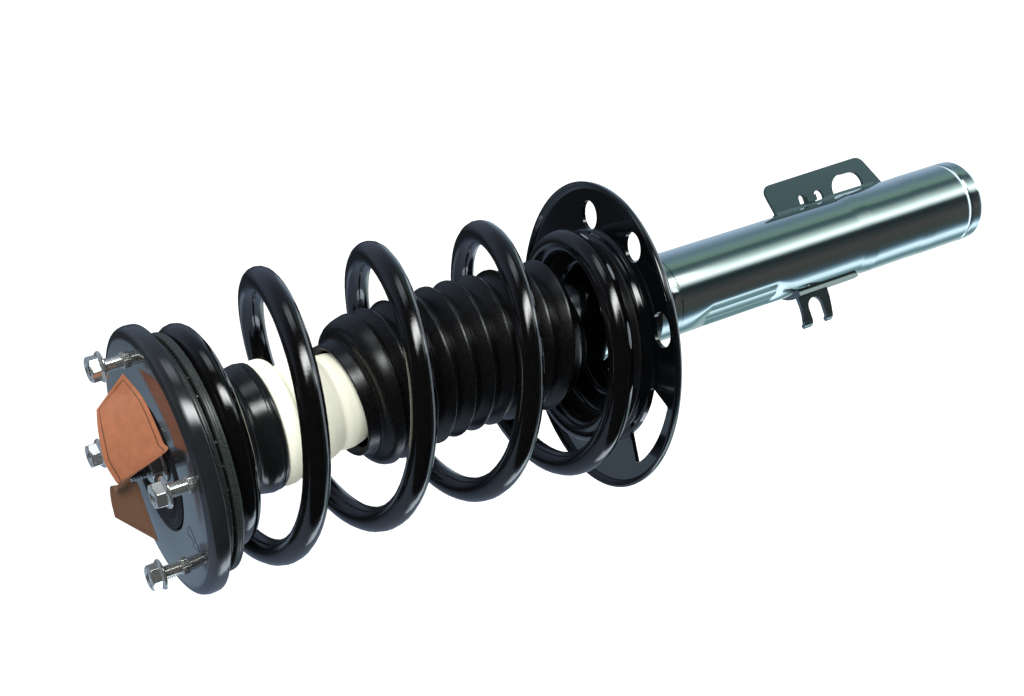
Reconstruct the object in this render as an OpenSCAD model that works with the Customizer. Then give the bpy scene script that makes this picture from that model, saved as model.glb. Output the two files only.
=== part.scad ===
// Strut assembly for a front wheel: coil spring over damper, with top mount.
// Upright on its axis: Z runs from the clamp end of the tube (Z = 0) to the studs.
// Millimetres. The curb side of the mount faces -Y.

/* [Damper] */
// outside diameter of the tube under the spring seat
tube_d = 56; // [52:1:58]
// outside diameter of the clamp end that the knuckle grips
clamp_d = 59; // [59:1:62]
// length of the thicker end
clamp_len = 104; // [102:1:106]
// length of the seat at its foot that is ground for the knuckle's clamp
clamp_seat = 54; // [48:1:54]
// wall of the damper tube
tube_wall = 2.5; // [2:0.5:3]
// height of the top of the tube above its lower end
tube_len = 380; // [370:1:390]
// diameter of the chromed piston rod
rod_d = 22; // [20:1:22]
// height of the threaded tip of the rod
rod_top = 646; // [640:1:646]
// thread size at the tip of the rod
rod_thread_d = 12; // [10:2:12]
// bore of the damper
bore_d = 36; // [32:1:38]

/* [Spring] */
// wire diameter of the road spring
wire_d = 15.2; // [13:0.2:15.2]
// mean radius of the free coils
coil_r = 77; // [74:0.5:78]
// mean radius of the dead coil in the upper seat
coil_top_r = 58; // [57:0.5:59]
// mean radius of the dead coil on the lower seat
coil_low_r = 58; // [56:0.5:60]
// drop of the spring centre line to the side at the lower seat
spring_bend = 17.5; // [15:0.5:18]
// rings of the spring mesh in one turn
rings_per_turn = 28; // [24:2:32]

/* [Lower seat] */
// radius of the rim of the lower spring seat
seat_r = 98.4; // [96:0.2:100]
// tilt of the lower spring seat
seat_tilt = 8; // [7:0.5:8.5]
// thickness of the seat pressing
seat_t = 2.5; // [2:0.5:3]

/* [Boot and bump stop] */
// number of convolutions in the dust boot
boot_folds = 10; // [8:1:12]
// radius over the convolutions
boot_r = 48.4; // [46:0.2:49]
// radius in the valleys between convolutions
boot_valley_r = 42; // [40:0.5:43]
// wall of the boot
boot_wall = 1.6; // [1.4:0.2:2]

/* [Top mount] */
// radius of the pressed mount plate
plate_r = 78; // [77:0.5:79]
// circle through the four studs
stud_pcd = 120; // [118:1:122]
// angle between two neighbouring studs, seen from above
stud_spread = 84; // [80:1:90]
// size of the stud thread
stud_d = 8; // [8:1:8]
// height of the outer face of the mount plate
plate_z = 626.5; // [626:0.5:627]

/* [Hidden] */
$fn = 96;
tube_r = tube_d / 2;
clamp_r = clamp_d / 2;
tube_in_r = tube_r - tube_wall;
seat_step = 0.35;           // the thicker end is this much smaller above the ground seat
thick_r = clamp_r - seat_step;
swage_len = 12;
upper_low = clamp_len + swage_len;
rod_r = rod_d / 2;
bore_r = bore_d / 2;
inner_wall = 1.5;
run_fit = 0.05;             // radial clearance of sliding fits
air = 0.4;                  // gap between parts of different bodies

// spring path, in turns counted down from the upper dead coil
turn_start = -1.65;
turn_end = 3.55;
spring_top = 596.4;         // height of the upper dead coil
spring_run = 260;           // height over which the centre line bends
pitch_first = 64.1;         // pitch of the first free coil
pitch_gain = 4.3;           // added pitch per turn down the spring
flat_pitch = 1;             // pitch left in the dead coils
rise_start = -1.15;
rise_len = 0.43;
settle_end = 3.1;
settle_len = 0.95;
spring_phase = 21.8;        // angle of turn zero
spring_shift = [6.5, -0.5]; // centre of the upper dead coil
spring_drift = -5.9;        // sideways drift of the centre line in Y
wire_sides = 10;

// tube details
flat_low = 186;             // clearance flat pressed in the tube
flat_high = 262;
flat_angle = -143;
flat_depth = 1.3;
pip_z = 283;                // locating pip under the lower seat
groove_z = 11;              // groove that marks the clamped length

// damper inside, as heights above the clamp end
guide_low = tube_len - 26;
guide_rim = tube_len - 14;
seal_low = tube_len - 4;
valve_low = 10;
piston_low = 306;
piston_len = 16;
band_len = 10;
spigot_r = 6;               // end of the rod that carries the piston
nut_af_r = 10.4;            // corner radius of the rod and piston nuts
stop_low = guide_low - 8;

// brackets on the tube
bracket_t = 2.5;
bracket_y = 5;
bracket_out = 51;
foot_low = 64;              // curved foot of the bracket
foot_high = 156.7;
hole_left = [33, 91.4, 10.4];   // rounded corners of the bracket's opening: x, z, radius
hole_right = [33.5, 82, 9.4];
tab_low = 119.7;            // lanced tab between its slots
tab_high = 128.3;
clip_y = -5;
clip_t = 3;
clip_low = 116.2;           // saddle of the clip
clip_high = 170.4;
clip_slot = [-39.9, 157.1];
clip_slot_r = 6.4;

// lower seat frame
seat_pos = [-10.2, -7.8, 336];
seat_roll = -2.6;           // the seat and its dead coil also lean a little across
cup_r = 66;                 // raised ring that carries the spring
cup_h = 4.4;                // its height over the rim plane
floor_z = -2;               // pan floor under the rim plane
hub_z = -12.5;              // underside of the sunk hub
window_r = 75;              // circle of the round windows
window_d = 16;
through = 20;               // height of a cutter that goes right through

// top stack heights
shell_top = 613.6;
shell_split = 609.6;
seat_face = spring_top + wire_d / 2 + 0.6;
neck_r = 40.5;
neck_low = 562;
neck_groove = 575;
stop_top = 596;             // where the bump stop meets the upper seat
well_r = 43;                // rubber well of the mount plate
plate_t = 3;
plate_low = 616;
rubber_low = 613;
shoulder_z = 610;           // shoulder of the rod, under the inner sleeve
washer_z = 621;
washer_t = 2;
rod_nut_z = washer_z + washer_t;
stud_first = -9.4;          // angle of the first stud
stud_angles = [stud_first, stud_first + stud_spread, stud_first + 180, stud_first + 180 + stud_spread];
nut_z = 639.5;
collar_r = 4.9;             // corner radius of a stud's knurled collar
stud_tip = 647;

// boot heights
boot_low = 364;
boot_top = 510;
fold_low = 367;
fold_high = 498;
fold_pitch = (fold_high - fold_low) / boot_folds;
fold_steps = 6;

// bearing
ball_r = 2.4;
ball_circle = 60;
ball_count = 28;
ball_z = shell_split + 0.3;

// hang tag: pairs of outer and inner edge points along the strip, which is slit for the rod
tag_t = 0.5;
tag_edges = [
    [[37.5, -9, 649.5], [52, -14, 631]],
    [[29, -10.5, 652], [35.5, -30.5, 629]],
    [[20, -12, 653.8], [18, -39, 629]],
    [[9, -13, 655], [9, -41.5, 629]],
    [[-2, -14.5, 653], [4.3, -43, 629.2]],
    [[-4.5, -13.5, 652], [-2.5, -21, 645.5]],
    [[-8, -6, 652.5], [-6, -13, 644]],
    [[-4, 3, 652.8], [-7, -11, 641.5]],
    [[-12, 9, 653.5], [-20, -9.5, 641]],
    [[-21, 14, 653.2], [-40.5, -5, 639.4]]];

// node to draw, or all of them

function smooth(t) = let (c = min(max(t, 0), 1)) c * c * (3 - 2 * c);
function ramp(t) = min(max(t, 0), 1);
function unit(v) = v / norm(v);

// closed skin through rings of points, each ring listed the same way round
module skin(rings, sides) {
    count = len(rings) / sides;
    last = (count - 1) * sides;
    polyhedron(points = rings, faces = concat(
        [for (k = [1:sides - 2]) [0, k, k + 1]],
        [for (k = [1:sides - 2]) [last, last + k + 1, last + k]],
        [for (i = [0:count - 2]) for (k = [0:sides - 1])
            let (a = i * sides, m = (k + 1) % sides)
            each [[a + k, a + sides + k, a + m], [a + m, a + sides + k, a + sides + m]]]));
}

// ---- damper tube ----

module outer_tube() {
    color([0.62, 0.66, 0.68]) difference() {
        union() {
            cylinder(r = clamp_r, h = clamp_seat);
            translate([0, 0, clamp_seat]) cylinder(r = thick_r, h = clamp_len - clamp_seat);
            translate([0, 0, clamp_len]) cylinder(r1 = thick_r, r2 = tube_r, h = swage_len);
            translate([0, 0, upper_low]) cylinder(r = tube_r, h = tube_len - upper_low);
            translate([0, 0, pip_z]) rotate([90, 0, 0]) cylinder(r = 3, h = tube_r + 0.8);
        }
        // bore, with the wall kept behind the clearance flat
        difference() {
            union() {
                translate([0, 0, -1]) cylinder(r = clamp_r - tube_wall, h = clamp_len + 1);
                translate([0, 0, clamp_len])
                    cylinder(r1 = clamp_r - tube_wall, r2 = tube_in_r, h = swage_len);
                translate([0, 0, upper_low]) cylinder(r = tube_in_r, h = tube_len);
            }
            flat_block(flat_depth + 1.6, 22);
        }
        flat_block(flat_depth, 0);
        // groove that limits the knuckle clamp
        translate([0, 0, groove_z]) difference() {
            cylinder(r = clamp_r + 1, h = 1.6);
            translate([0, 0, -1]) cylinder(r = clamp_r - 0.7, h = 4);
        }
    }
}

// cutter for the clearance flat, with sloping run-outs
module flat_block(depth, more) {
    x_face = tube_r - depth;
    rotate([0, 0, flat_angle]) translate([0, 40, 0]) rotate([90, 0, 0]) linear_extrude(height = 80)
        polygon([
            [x_face, flat_low + 12 - more / 4], [x_face, flat_high - 12 + more / 4],
            [tube_r + 4, flat_high + 8 + more], [tube_r + 4, flat_low - 8 - more]]);
}

module base_cap() {
    color([0.35, 0.37, 0.4]) difference() {
        translate([0, 0, 3]) cylinder(r = clamp_r - tube_wall, h = 7);
        translate([0, 0, 2]) cylinder(r1 = 20, r2 = 17, h = 4);
    }
}

module inner_tube() {
    color([0.7, 0.7, 0.72]) translate([0, 0, valve_low + 2]) difference() {
        cylinder(r = bore_r + inner_wall, h = guide_rim - valve_low - 2);
        translate([0, 0, -1]) cylinder(r = bore_r, h = tube_len);
    }
}

module base_valve() {
    color([0.55, 0.5, 0.35]) difference() {
        union() {
            translate([0, 0, valve_low]) cylinder(r = bore_r + inner_wall, h = 2);
            translate([0, 0, valve_low + 2]) cylinder(r = bore_r - 0.02, h = 12);
            translate([0, 0, valve_low + 14]) cylinder(r = 5, h = 6, $fn = 6);
        }
        for (a = [0:60:300]) rotate([0, 0, a]) translate([11, 0, valve_low - 2]) cylinder(r = 2.2, h = 18);
    }
}

module rod_guide() {
    color([0.5, 0.5, 0.52]) difference() {
        union() {
            translate([0, 0, guide_low]) cylinder(r = bore_r - 0.02, h = guide_rim - guide_low);
            translate([0, 0, guide_rim]) cylinder(r = tube_in_r, h = seal_low - guide_rim);
        }
        translate([0, 0, guide_low - 1]) cylinder(r = rod_r + run_fit, h = 30);
    }
}

module rod_seal() {
    color([0.12, 0.12, 0.13]) difference() {
        translate([0, 0, seal_low]) cylinder(r = tube_in_r, h = tube_len - seal_low);
        translate([0, 0, seal_low - 1]) cylinder(r = rod_r + air, h = 6);
    }
}

module striker_cap() {
    color([0.14, 0.14, 0.15]) difference() {
        translate([0, 0, tube_len - 12]) cylinder(r = tube_r + 2, h = 16);
        translate([0, 0, tube_len - 13]) cylinder(r = tube_r, h = 13);
        translate([0, 0, tube_len - 1]) cylinder(r = rod_r + 1.5, h = 6);
        for (a = [0:90:270]) rotate([0, 0, a]) translate([21, 0, tube_len - 1]) cylinder(r = 2, h = 6);
    }
}

// ---- lower spring seat ----

module in_seat() {
    translate(seat_pos) rotate([seat_roll, 0, 0]) rotate([0, seat_tilt, 0]) children();
}

module lower_spring_seat() {
    color([0.05, 0.05, 0.06]) difference() {
        in_seat() difference() {
            rotate_extrude() polygon([
                [18, hub_z], [42.5, hub_z], [46.4, hub_z + 2.5], [48.4, cup_h - seat_t],
                [cup_r - 4, cup_h - seat_t], [cup_r - 3.2, 0], [cup_r - 2, floor_z - seat_t + 1],
                [cup_r, floor_z - seat_t], [seat_r - 2.6, floor_z - seat_t], [seat_r - 0.6, floor_z - 1],
                [seat_r, 1], [seat_r - 0.8, 1.8], [seat_r - 2.2, 1.6], [seat_r - 2.8, -0.6],
                [seat_r - 4.2, floor_z], [cup_r + 2, floor_z], [cup_r, floor_z + 1.5],
                [cup_r - 0.6, cup_h - 1.8], [cup_r - 2.4, cup_h], [48, cup_h],
                [45.8, cup_h - 2], [44, hub_z + 4.9], [41.5, hub_z + seat_t], [18, hub_z + seat_t]]);
            // round windows in the floor
            for (a = [-15, -54, -97]) rotate([0, 0, a]) translate([window_r, 0, -10])
                cylinder(d = window_d, h = through);
            rotate([0, 0, -97]) translate([window_r, 2.5, -10]) cylinder(d = window_d, h = through);
            // curved drain window with corners
            intersection() {
                difference() {
                    translate([0, 0, -10]) cylinder(r = 86.5, h = 20);
                    translate([0, 0, -11]) cylinder(r = 67.5, h = 22);
                }
                rotate([0, 0, -149]) translate([0, 0, -10]) linear_extrude(height = 20)
                    polygon([[40, -10], [100, -39], [100, 39], [40, 22]]);
            }
            // drain slots in the raised ring
            rotate([0, 0, -44]) translate([56, -7, -10]) cube([2.6, 14, 20]);
            rotate([0, 0, 28]) translate([53, -5, -10]) cube([3, 10, 20]);
            rotate([0, 0, -8]) translate([41.5, -2, -14]) cube([3, 4, 10]);
        }
        translate([0, 0, 300]) cylinder(r = tube_r, h = 60);
    }
}

module seat_support() {
    color([0.06, 0.06, 0.07]) difference() {
        union() {
            translate([0, 0, 296]) cylinder(r = tube_r + 2.5, h = 10);
            translate([0, 0, 306]) cylinder(r1 = tube_r + 2.5, r2 = tube_r + 9, h = 32);
        }
        in_seat() translate([-60, -60, hub_z]) cube([120, 120, 60]);
        translate([0, 0, 295]) cylinder(r = tube_r, h = 60);
    }
}

module lower_insulator() {
    color([0.1, 0.1, 0.1]) in_seat() difference() {
        translate([0, 0, cup_h]) cylinder(r = cup_r - 2, h = 1.2);
        translate([0, 0, cup_h - 1]) cylinder(r = 49, h = 4);
    }
}

// ---- brackets on the tube ----

// skin of a pressing of thickness t wrapped round the tube's outside, between two heights
module wrap(t, low, high) {
    intersection() {
        union() {
            cylinder(r = thick_r + t, h = clamp_len);
            translate([0, 0, clamp_len]) cylinder(r1 = thick_r + t, r2 = tube_r + t, h = swage_len);
            translate([0, 0, upper_low]) cylinder(r = tube_r + t, h = 100);
        }
        translate([-60, -60, low]) cube([120, 120, high - low]);
    }
}

// plate outline with two rounded outer corners, as x and z
module bracket_outline() {
    hull() {
        translate([24, 53]) square([1, 102.7]);
        translate([bracket_out - 9.1, 74.3]) circle(r = 10);
        translate([bracket_out - 6.4, 154.2]) circle(r = 6);
    }
}

// pressed plate for the brake line, standing off the side of the tube
module line_bracket() {
    color([0.3, 0.35, 0.36]) difference() {
        union() {
            translate([0, bracket_y + bracket_t, 0]) rotate([90, 0, 0])
                linear_extrude(height = bracket_t)
                difference() {
                    bracket_outline();
                    // opening for the line fitting
                    for (c = [hole_left, hole_right]) translate([c[0], c[1]]) circle(r = c[2]);
                    translate([33, hole_right[1]])
                        square([hole_right[2] + 0.5, hole_left[1] - hole_right[1]]);
                    translate([20, hole_right[1] - hole_right[2]])
                        square([13.2, hole_left[1] - hole_right[1] + hole_left[2] + hole_right[2]]);
                    // slots either side of the lanced tab
                    translate([31, tab_high]) square([4, 5.4]);
                    translate([34.8, tab_high + 2.7]) circle(r = 2.7);
                    translate([22, tab_low - 8.5]) square([12, 8.5]);
                    translate([33.2, tab_low - 4.2]) circle(r = 4.2);
                }
            // curved foot spot-welded round the tube
            difference() {
                wrap(bracket_t, foot_low, foot_high);
                rotate([0, 0, 9]) translate([-80, -80, 0]) cube([160, 80, 200]);
                rotate([0, 0, 62]) translate([-80, 0, 0]) cube([160, 80, 200]);
            }
            // lanced tab, pressed out towards the open side
            translate([30.6, bracket_y - 2.6, tab_low]) cube([4.4, 2.7, tab_high - tab_low]);
        }
        wrap(0, 0, 200);
    }
}

// forked clip that a hose grommet pushes into
module hose_clip() {
    color([0.3, 0.35, 0.36]) difference() {
        union() {
            // two legs of the fork
            translate([0, clip_y + clip_t, 0]) rotate([90, 0, 0]) linear_extrude(height = clip_t)
                difference() {
                    polygon([
                        [-24, 142.5], [-37.2, 143], [-43, 143.9], [-48.5, 145],
                        [-48.5, 171], [-43, 169.8], [-37.2, 169.4], [-24, clip_high]]);
                    translate(clip_slot) circle(r = clip_slot_r);
                    translate(clip_slot + [-20, -clip_slot_r]) square([20, 2 * clip_slot_r]);
                }
            // toes turned back out of the fork's plane
            for (low = [145, clip_slot[1] + clip_slot_r]) translate([0, clip_y, low])
                linear_extrude(height = low == 145 ? clip_slot[1] - clip_slot_r - low : 171 - low)
                polygon([
                    [-48, 0], [-50, 0.6], [-51.6, 2], [-52.6, 4], [-50, 5.2],
                    [-49.4, 4], [-48.8, 3.3], [-48, clip_t]]);
            // saddle welded along the tube
            difference() {
                wrap(clip_t, clip_low, clip_high);
                rotate([0, 0, 17]) translate([-80, -80, 0]) cube([160, 80, 200]);
                rotate([0, 0, -43]) translate([-80, 0, 0]) cube([160, 80, 200]);
            }
        }
        wrap(0, 0, 200);
    }
}

// ---- road spring ----
// side-load spring: the centre line bends so that the lower coils lean with the seat

function pitch_at(u) = flat_pitch + (pitch_first + pitch_gain * u)
    * ramp((u - rise_start) / rise_len) * ramp((settle_end - u) / settle_len);
spring_rings = ceil((turn_end - turn_start) * rings_per_turn);
turn_step = (turn_end - turn_start) / spring_rings;
spring_z = [for (i = 0, z = spring_top; i <= spring_rings;
    z = z - turn_step * pitch_at(turn_start + (i + 0.5) * turn_step), i = i + 1) z];
function spring_r(u) = coil_r - (coil_r - coil_top_r) * (1 - smooth((u + 1.07) / 0.46))
    - (coil_r - coil_low_r) * smooth((u - 2.3) / 0.95);
function spring_point(i) = let (
    u = turn_start + i * turn_step,
    a = spring_phase + 360 * u,
    r = spring_r(u),
    s = (spring_top - spring_z[i]) / spring_run,
    lean = atan(2 * spring_bend * s / spring_run))
    [spring_shift[0] - spring_bend * s * s + r * cos(a) * cos(lean),
     spring_shift[1] + spring_drift * s + r * sin(a),
     spring_z[i] - r * cos(a) * sin(lean) + r * sin(a) * sin(seat_roll * s)];
spring_path = [for (i = [0:spring_rings]) spring_point(i)];
function path_dir(i) = unit(spring_path[min(i + 1, spring_rings)] - spring_path[max(i - 1, 0)]);
// radius of a ring whose polygon has the area of the round wire
wire_ring_r = wire_d / 2 * sqrt(2 * PI / wire_sides / sin(360 / wire_sides));
function wire_ring(i) = let (
    t = path_dir(i),
    out = [spring_path[i][0] + 4, spring_path[i][1] + 3, 0],
    n = unit(out - t * (out * t)),
    b = cross(t, n))
    [for (k = [0:wire_sides - 1]) spring_path[i]
        + wire_ring_r * (cos(360 * k / wire_sides) * n + sin(360 * k / wire_sides) * b)];
// least gap of the wire to itself, measured on the path
near_turn = round(rings_per_turn * 0.6);
spring_gap = min([for (i = [0:spring_rings - near_turn]) for (j = [i + near_turn:spring_rings])
    norm(spring_path[i] - spring_path[j])]) - 2 * wire_ring_r;
echo(spring_least_gap = spring_gap);

module coil_spring() {
    color([0.04, 0.04, 0.05]) skin([for (i = [0:spring_rings]) each wire_ring(i)], wire_sides);
}

// ---- dust boot and bump stop ----

function fold_r(k) = boot_valley_r + (boot_r - boot_valley_r) * pow(sin(180 * k / fold_steps), 0.7);
boot_outside = concat(
    [[tube_r + 4, boot_low - 7], [tube_r + 4.6, boot_low - 2], [boot_valley_r, fold_low - 1]],
    [for (f = [0:boot_folds - 1]) for (k = [0:(f == boot_folds - 1 ? 3 : fold_steps - 1)])
        [fold_r(k), fold_low + (f + k / fold_steps) * fold_pitch]],
    [[47.2, fold_high - 2.5], [44.6, fold_high + 2], [40.8, fold_high + 6], [37.4, fold_high + 8.2],
     [35.6, fold_high + 8.8], [35.6, boot_top + 1.5]]);
boot_n = len(boot_outside);
// wall of the boot at a point of its outline, thicker at the collar
function boot_depth(i) = i < 2 ? 3 : i == boot_n - 1 ? boot_wall + 0.4 : boot_wall;

module dust_boot() {
    color([0.06, 0.06, 0.06]) rotate_extrude() polygon(concat(
        boot_outside,
        [for (i = [boot_n - 1:-1:0]) boot_outside[i] - [boot_depth(i), i == 2 ? -2.4 : 0]]));
}

module bump_stop() {
    color([0.9, 0.88, 0.72]) rotate_extrude() polygon([
        [rod_r + 1, 497], [24, 497], [26.5, 503], [29, 508.5], [30.4, 514.5], [29.8, 520], [27.6, 524],
        [30.6, 527.5], [33.2, 532.5], [33.2, 538], [31, 542], [28.6, 545.5], [29.4, 548.6],
        [33.6, 550], [38.4, 551.2], [39.7, 553.6], [39.8, 557.4], [38.6, 560.4], [36.4, neck_low - 0.6],
        [34, neck_low - 0.6], [34, stop_top], [rod_r + 1, stop_top]]);
}

// ---- upper spring seat and bearing ----

module ball_groove() {
    translate([0, 0, ball_z]) rotate_extrude() translate([ball_circle, 0]) circle(r = ball_r + 0.05);
}

module upper_spring_seat() {
    color([0.05, 0.05, 0.06]) difference() {
        rotate_extrude() polygon([
            [34.2, neck_low], [36.6, neck_low], [37.6, neck_low + 1.4], [37.8, neck_low + 3],
            [39.8, neck_low + 4], [neck_r, neck_low + 6], [neck_r, neck_groove - 1],
            [neck_r - 0.8, neck_groove], [neck_r, neck_groove + 1], [neck_r + 0.4, stop_top - 2],
            [43, seat_face - 2], [46, seat_face + 0.6], [66, seat_face + 0.6], [66, shell_split - 1],
            [42, shell_split - 1], [40.5, stop_top + 6], [38.4, stop_top + 2.5],
            [14, stop_top + 2.5], [14, stop_top + 0.2], [34.2, stop_top + 0.2]]);
        ball_groove();
    }
}

module upper_insulator() {
    color([0.2, 0.22, 0.21]) rotate_extrude() polygon([
        [48, seat_face - 0.2], [69.6, seat_face - 0.2], [70, seat_face + 0.4],
        [70, shell_split - 0.9], [69.2, shell_split - 0.5], [66.1, shell_split - 0.5],
        [66.1, seat_face + 0.5], [48, seat_face + 0.5]]);
}

module bearing_balls() {
    color([0.8, 0.8, 0.82]) for (i = [0:ball_count - 1])
        rotate([0, 0, i * 360 / ball_count]) translate([ball_circle, 0, ball_z]) sphere(r = ball_r);
}

module bearing_cover() {
    color([0.2, 0.22, 0.21]) difference() {
        rotate_extrude() polygon([
            [44, shell_split + 0.4], [67.6, shell_split + 0.4], [68.6, shell_split + 1.2],
            [68.6, shell_top - 0.8], [67.8, shell_top], [63.5, shell_top],
            [63, plate_low], [44, plate_low]]);
        ball_groove();
    }
}

// ---- top mount ----

module at_studs() {
    for (a = stud_angles) rotate([0, 0, a]) translate([stud_pcd / 2, 0, 0]) children();
}

module mount_plate() {
    color([0.05, 0.05, 0.06]) difference() {
        rotate_extrude() polygon([
            [plate_r - plate_t, plate_low], [plate_r, plate_low], [plate_r, plate_z - 4.6],
            [plate_r - 0.5, plate_z - 2.6], [plate_r - 1.8, plate_z - 1], [plate_r - 4, plate_z],
            [39.6, plate_z], [38.2, plate_z - 0.6], [37.8, plate_z - 2], [37.8, plate_z - plate_t - 3.5],
            [40.4, plate_z - plate_t - 3.5], [40.8, plate_z - plate_t],
            [plate_r - plate_t - 1.6, plate_z - plate_t], [plate_r - plate_t, plate_z - plate_t - 1.6]]);
        // the studs' knurled collars are pressed into these holes
        at_studs() translate([0, 0, plate_z - plate_t - 1]) cylinder(r = collar_r + 0.05, h = plate_t + 2);
    }
}

module mount_pan() {
    color([0.07, 0.07, 0.08]) difference() {
        translate([0, 0, plate_low]) cylinder(r = plate_r - plate_t, h = 2.4);
        translate([0, 0, plate_low - 1]) cylinder(r = well_r, h = 5);
    }
}

module mount_rubber() {
    color([0.09, 0.09, 0.09]) rotate_extrude() polygon([
        [13, rubber_low], [30, rubber_low], [well_r, plate_low + 0.2], [well_r, plate_z - 7.2],
        [37.6, plate_z - 6.8], [37.6, plate_z + 0.2], [36.8, plate_z + 0.6], [36.2, plate_z - 0.4],
        [35.4, plate_z + 0.8], [34.8, plate_z - 0.2], [34, plate_z + 1], [33.2, plate_z],
        [32.2, plate_z + 0.8], [30.5, plate_z - 1.5], [27, plate_z - 5], [20, plate_z - 7.5],
        [13, plate_z - 7.5]]);
}

module inner_sleeve() {
    color([0.5, 0.5, 0.52]) difference() {
        translate([0, 0, shoulder_z]) cylinder(r = 13, h = washer_z - shoulder_z);
        translate([0, 0, shoulder_z - 1]) cylinder(r = rod_thread_d / 2 + 0.05, h = 13);
    }
}

module rebound_washer() {
    color([0.1, 0.1, 0.1]) difference() {
        translate([0, 0, washer_z]) cylinder(r = 18, h = washer_t);
        translate([0, 0, washer_z - 1]) cylinder(r = rod_thread_d / 2 + 0.05, h = 4);
    }
}

module piston_rod() {
    color([0.75, 0.77, 0.8]) union() {
        translate([0, 0, piston_low + piston_len])
            cylinder(r = rod_r, h = shoulder_z - piston_low - piston_len - 1.2);
        translate([0, 0, shoulder_z - 1.2]) cylinder(r1 = rod_r, r2 = rod_r - 1.2, h = 1.2);
        translate([0, 0, piston_low - 6]) cylinder(r = spigot_r, h = piston_len + 6);
        translate([0, 0, shoulder_z]) cylinder(r = rod_thread_d / 2, h = rod_top - shoulder_z - 1);
        translate([0, 0, rod_top - 1]) cylinder(r1 = rod_thread_d / 2, r2 = rod_thread_d / 2 - 1, h = 1);
    }
}

module piston() {
    color([0.5, 0.5, 0.45]) difference() {
        translate([0, 0, piston_low]) cylinder(r = bore_r - 1.6, h = piston_len);
        translate([0, 0, piston_low - 1]) cylinder(r = spigot_r, h = piston_len + 2);
        for (a = [0:45:315]) rotate([0, 0, a]) translate([11, 0, piston_low - 1])
            cylinder(r = 1.6, h = piston_len + 2);
        translate([0, 0, piston_low + 3]) difference() {
            cylinder(r = bore_r, h = band_len);
            translate([0, 0, -1]) cylinder(r = bore_r - 3, h = band_len + 2);
        }
    }
}

module piston_nut() {
    color([0.6, 0.6, 0.58]) translate([0, 0, piston_low - 5.5]) difference() {
        cylinder(r = nut_af_r, h = 5.5, $fn = 6);
        translate([0, 0, -1]) cylinder(r = spigot_r, h = 8);
    }
}

module piston_band() {
    color([0.3, 0.22, 0.15]) translate([0, 0, piston_low + 3]) difference() {
        cylinder(r = bore_r - run_fit, h = band_len);
        translate([0, 0, -1]) cylinder(r = bore_r - 3, h = band_len + 2);
    }
}

module rebound_stop() {
    color([0.2, 0.2, 0.2]) difference() {
        translate([0, 0, stop_low]) cylinder(r = bore_r - 2.2, h = 7.4);
        translate([0, 0, stop_low - 1]) cylinder(r = rod_r, h = 10);
    }
}

module rod_nut() {
    color([0.6, 0.6, 0.58]) difference() {
        union() {
            translate([0, 0, rod_nut_z]) cylinder(r = 11.5, h = 1.6);
            translate([0, 0, rod_nut_z + 1.6]) cylinder(r = nut_af_r, h = 7, $fn = 6);
        }
        translate([0, 0, rod_nut_z - 1]) cylinder(r = rod_thread_d / 2, h = 12);
    }
}

module studs() {
    color([0.8, 0.8, 0.78]) at_studs() {
        translate([0, 0, plate_z - plate_t - 3]) cylinder(r = 6.4, h = 3);
        translate([0, 0, plate_z - plate_t]) cylinder(d = stud_d, h = stud_tip - plate_z + plate_t - 0.8);
        translate([0, 0, stud_tip - 0.8]) cylinder(r1 = stud_d / 2, r2 = stud_d / 2 - 0.8, h = 0.8);
        // knurled collar through the plate
        translate([0, 0, plate_z - plate_t]) cylinder(r = collar_r, h = plate_t + 2.2, $fn = 12);
    }
}

module flange_nuts() {
    color([0.85, 0.86, 0.86]) at_studs() difference() {
        union() {
            translate([0, 0, nut_z]) cylinder(r = 8.95, h = 1.2);
            translate([0, 0, nut_z + 1.2]) cylinder(r1 = 8.6, r2 = 7, h = 1);
            translate([0, 0, nut_z + 1.2]) rotate([0, 0, 15]) cylinder(r = 7.5, h = 6.8, $fn = 6);
        }
        translate([0, 0, nut_z - 1]) cylinder(d = stud_d, h = 10);
    }
}

// hang tag, bent in two flaps that lie over the tip of the rod
function tag_normal(i) = let (n = len(tag_edges) - 1)
    unit(cross(tag_edges[i][1] - tag_edges[i][0], tag_edges[min(i + 1, n)][0] - tag_edges[max(i - 1, 0)][0]));
function tag_ring(i) = let (half = tag_normal(i) * tag_t / 2, edge = tag_edges[i])
    [edge[0] + half, edge[1] + half, edge[1] - half, edge[0] - half];
module tag() {
    color([0.95, 0.45, 0.12]) skin([for (i = [0:len(tag_edges) - 1]) each tag_ring(i)], 4);
}

outer_tube();
base_cap();
inner_tube();
base_valve();
rod_guide();
rod_seal();
striker_cap();
lower_spring_seat();
seat_support();
line_bracket();
hose_clip();
lower_insulator();
coil_spring();
dust_boot();
upper_spring_seat();
upper_insulator();
bump_stop();
bearing_balls();
bearing_cover();
mount_plate();
mount_pan();
mount_rubber();
inner_sleeve();
rebound_washer();
piston_rod();
piston();
piston_nut();
piston_band();
rebound_stop();
rod_nut();
studs();
flange_nuts();
tag();
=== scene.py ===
"""Looks of a front suspension strut: damper tube, leaning seat, side-load spring, boot, stop and top mount."""

import math

import bpy
from mathutils import Matrix, Vector


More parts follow.
